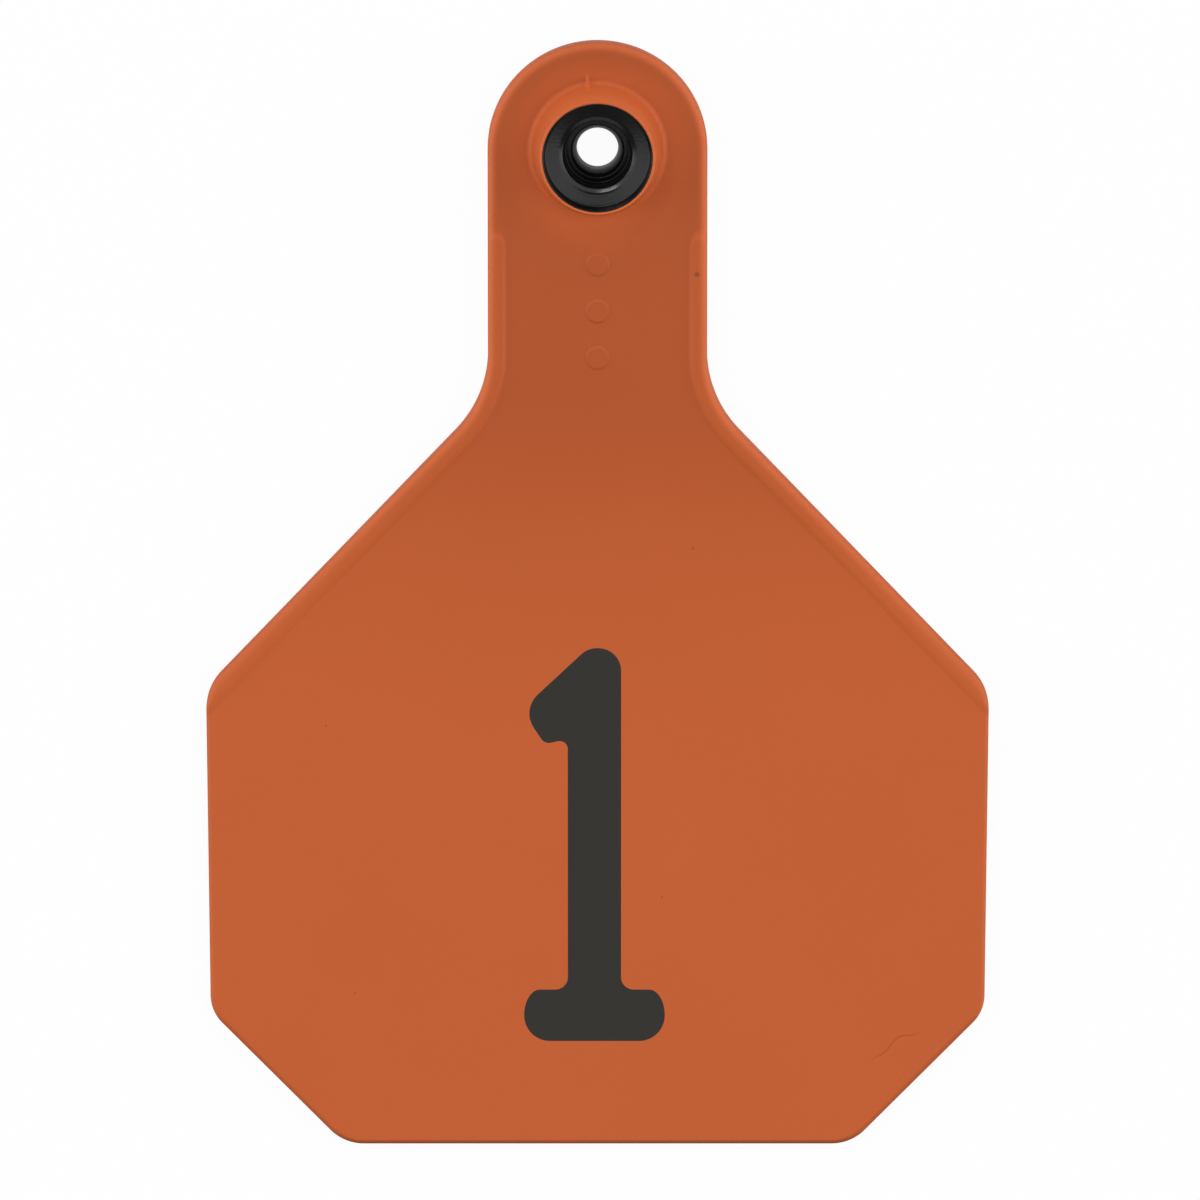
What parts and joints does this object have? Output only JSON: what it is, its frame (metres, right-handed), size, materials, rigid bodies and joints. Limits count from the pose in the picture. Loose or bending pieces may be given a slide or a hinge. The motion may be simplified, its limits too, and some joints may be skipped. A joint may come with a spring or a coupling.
{
  "type": "livestock ear tag",
  "caption": "Flexible panel half of a livestock ear tag: round head with a raised hub and hard locking insert for a stud, short neck, wide clipped panel with a printed numeral.",
  "frame": {"origin": "on the hub's axis, in the plane of the flat back face", "axes": "+Z out of the printed front face, +Y from the hub to the top of the head, the panel lies towards -Y"},
  "size_m": [0.0762, 0.1099, 0.0065],
  "materials": {
    "moulded_panel": "satin moulded polyurethane",
    "hard_insert": "semi-gloss moulded",
    "number_ink": "flat ink"
  },
  "bodies": {
    "root": {"tag_panel": "moulded_panel", "lock_insert": "hard_insert", "printed_number": "number_ink"}
  },
  "joints": []
}
